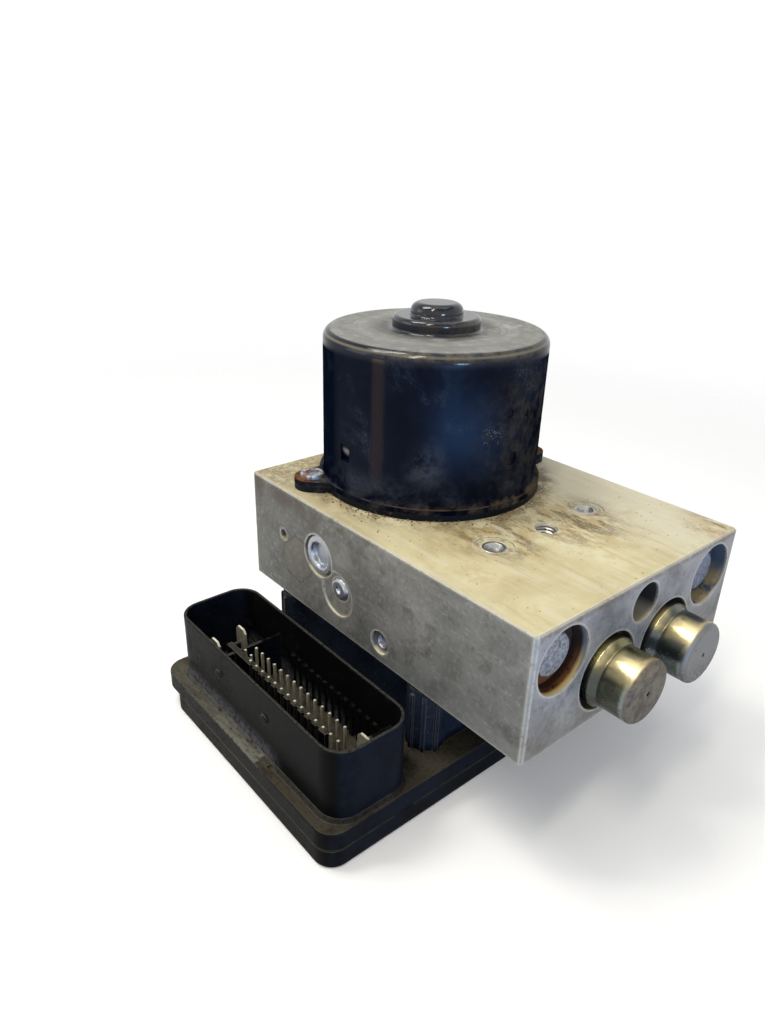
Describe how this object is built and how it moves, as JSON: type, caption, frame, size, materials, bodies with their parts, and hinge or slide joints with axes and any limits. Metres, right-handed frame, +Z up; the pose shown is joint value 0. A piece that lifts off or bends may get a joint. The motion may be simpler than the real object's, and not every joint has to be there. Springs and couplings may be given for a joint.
{
  "type": "abs brake module",
  "caption": "Anti-lock brake hydraulic unit: upright pump motor on an aluminium valve block, spring accumulators in one end, and a control unit with an upright connector shroud beneath",
  "frame": {"origin": "where the pump motor's axis meets the plane of the control unit cover's underside", "axes": "+Z up along the motor's axis, +X toward the accumulator caps, -Y toward the connector shroud"},
  "size_m": [0.154, 0.1512, 0.1477],
  "materials": {
    "black_lacquer": "glossy black stoving lacquer, dusty, rusted at the foot",
    "zinc_plate": "zinc plated pressed steel with brown rust",
    "screw_steel": "plated steel, rusted",
    "rubber_seal": "black rubber",
    "ferrite": "ground ferrite",
    "bearing_steel": "ground and hardened",
    "core_steel": "stacked electrical steel",
    "copper": "enamelled copper",
    "sintered_bronze": "oiled sintered bronze",
    "moulded_resin": "moulded thermoset",
    "carbon": "pressed carbon",
    "spring_steel": "drawn spring steel",
    "pump_steel": "ground steel",
    "plug_steel": "bluish turned steel",
    "rusty_plug": "turned steel with a rusty rim",
    "machined_aluminium": "machined aluminium, stained with oil and dust",
    "piston_polymer": "moulded natural polymer",
    "yellow_zinc": "yellow passivated zinc plating on deep drawn steel",
    "coil_resin": "moulded coil",
    "contact_gold": "pale gold plating",
    "black_plastic": "glass-filled black moulding, scuffed and dusty",
    "board_laminate": "green solder resist"
  },
  "bodies": {
    "unit": {"accumulator_cap_back": "yellow_zinc", "accumulator_cap_front": "yellow_zinc", "accumulator_spring_back": "spring_steel", "accumulator_spring_front": "spring_steel", "bearing_cup": "bearing_steel", "bearing_rollers": "bearing_steel", "brush_back": "carbon", "brush_front": "carbon", "brush_plate": "moulded_resin", "brush_springs": "spring_steel", "cap_circlips": "screw_steel", "circuit_board": "board_laminate", "damper_plugs": "rusty_plug", "dome_plug": "plug_steel", "ecu_cover": "black_plastic", "ecu_housing": "black_plastic", "ecu_screws": "screw_steel", "ecu_seal": "rubber_seal", "end_shield": "zinc_plate", "gallery_plugs": "plug_steel", "inlet_valves": "pump_steel", "lead_sleeve": "moulded_resin", "motor_can": "black_lacquer", "motor_magnets": "ferrite", "motor_pins": "copper", "motor_screws": "screw_steel", "motor_seal": "rubber_seal", "outlet_valves": "pump_steel", "power_blades": "contact_gold", "pump_plug_back": "plug_steel", "pump_plug_front": "plug_steel", "pump_sleeve_back": "pump_steel", "pump_sleeve_front": "pump_steel", "pump_spring_back": "spring_steel", "pump_spring_front": "spring_steel", "signal_pins": "contact_gold", "small_plug": "plug_steel", "upper_bush": "sintered_bronze", "valve_block": "machined_aluminium", "valve_coils": "coil_resin"},
    "rotor": {"rotor_shaft": "bearing_steel", "rotor_core": "core_steel", "rotor_windings": "copper", "commutator": "copper", "eccentric_needles": "bearing_steel"},
    "pump_ring": {"eccentric_ring": "bearing_steel"},
    "pump_piston_front": {"pump_piston_front": "pump_steel"},
    "pump_piston_back": {"pump_piston_back": "pump_steel"},
    "accumulator_piston_front": {"accumulator_piston_front": "piston_polymer", "accumulator_seal_front": "rubber_seal"},
    "accumulator_piston_back": {"accumulator_piston_back": "piston_polymer", "accumulator_seal_back": "rubber_seal"},
    "inlet_plunger_1": {"inlet_plunger_1": "pump_steel"},
    "inlet_plunger_2": {"inlet_plunger_2": "pump_steel"},
    "inlet_plunger_3": {"inlet_plunger_3": "pump_steel"},
    "inlet_plunger_4": {"inlet_plunger_4": "pump_steel"},
    "outlet_plunger_1": {"outlet_plunger_1": "pump_steel"},
    "outlet_plunger_2": {"outlet_plunger_2": "pump_steel"},
    "outlet_plunger_3": {"outlet_plunger_3": "pump_steel"},
    "outlet_plunger_4": {"outlet_plunger_4": "pump_steel"}
  },
  "joints": [
    {"name": "rotor_spin", "type": "hinge", "parent": "unit", "child": "rotor", "pos_m": [0, 0, 0.09], "axis": [0, 0, 1], "continuous": true},
    {"name": "ring_spin", "type": "hinge", "parent": "rotor", "child": "pump_ring", "pos_m": [0.0011, 0, 0.064], "axis": [0, 0, 1], "continuous": true},
    {"name": "pump_stroke_front", "type": "slide", "parent": "unit", "child": "pump_piston_front", "axis": [0, -1, 0], "range_m": [0, 0.0022], "stiffness_N_per_m": 800, "springref_m": -0.004, "deforming": ["pump_spring_front"]},
    {"name": "pump_stroke_back", "type": "slide", "parent": "unit", "child": "pump_piston_back", "axis": [0, 1, 0], "range_m": [0, 0.0022], "stiffness_N_per_m": 800, "springref_m": -0.004, "deforming": ["pump_spring_back"]},
    {"name": "accumulator_travel_front", "type": "slide", "parent": "unit", "child": "accumulator_piston_front", "axis": [1, 0, 0], "range_m": [0, 0.008], "stiffness_N_per_m": 400, "springref_m": -0.002, "deforming": ["accumulator_spring_front"]},
    {"name": "accumulator_travel_back", "type": "slide", "parent": "unit", "child": "accumulator_piston_back", "axis": [1, 0, 0], "range_m": [0, 0.008], "stiffness_N_per_m": 400, "springref_m": -0.002, "deforming": ["accumulator_spring_back"]},
    {"name": "inlet_stroke_1", "type": "slide", "parent": "unit", "child": "inlet_plunger_1", "axis": [0, 0, 1], "range_m": [0, 0.0003], "stiffness_N_per_m": 300, "springref_m": -0.001},
    {"name": "inlet_stroke_2", "type": "slide", "parent": "unit", "child": "inlet_plunger_2", "axis": [0, 0, 1], "range_m": [0, 0.0003], "stiffness_N_per_m": 300, "springref_m": -0.001},
    {"name": "inlet_stroke_3", "type": "slide", "parent": "unit", "child": "inlet_plunger_3", "axis": [0, 0, 1], "range_m": [0, 0.0003], "stiffness_N_per_m": 300, "springref_m": -0.001},
    {"name": "inlet_stroke_4", "type": "slide", "parent": "unit", "child": "inlet_plunger_4", "axis": [0, 0, 1], "range_m": [0, 0.0003], "stiffness_N_per_m": 300, "springref_m": -0.001},
    {"name": "outlet_stroke_1", "type": "slide", "parent": "unit", "child": "outlet_plunger_1", "axis": [0, 0, -1], "range_m": [0, 0.0003], "stiffness_N_per_m": 300, "springref_m": -0.001},
    {"name": "outlet_stroke_2", "type": "slide", "parent": "unit", "child": "outlet_plunger_2", "axis": [0, 0, -1], "range_m": [0, 0.0003], "stiffness_N_per_m": 300, "springref_m": -0.001},
    {"name": "outlet_stroke_3", "type": "slide", "parent": "unit", "child": "outlet_plunger_3", "axis": [0, 0, -1], "range_m": [0, 0.0003], "stiffness_N_per_m": 300, "springref_m": -0.001},
    {"name": "outlet_stroke_4", "type": "slide", "parent": "unit", "child": "outlet_plunger_4", "axis": [0, 0, -1], "range_m": [0, 0.0003], "stiffness_N_per_m": 300, "springref_m": -0.001}
  ],
  "couplings": [
    {"joint": "ring_spin", "follows": "rotor_spin", "ratio": -1}
  ]
}
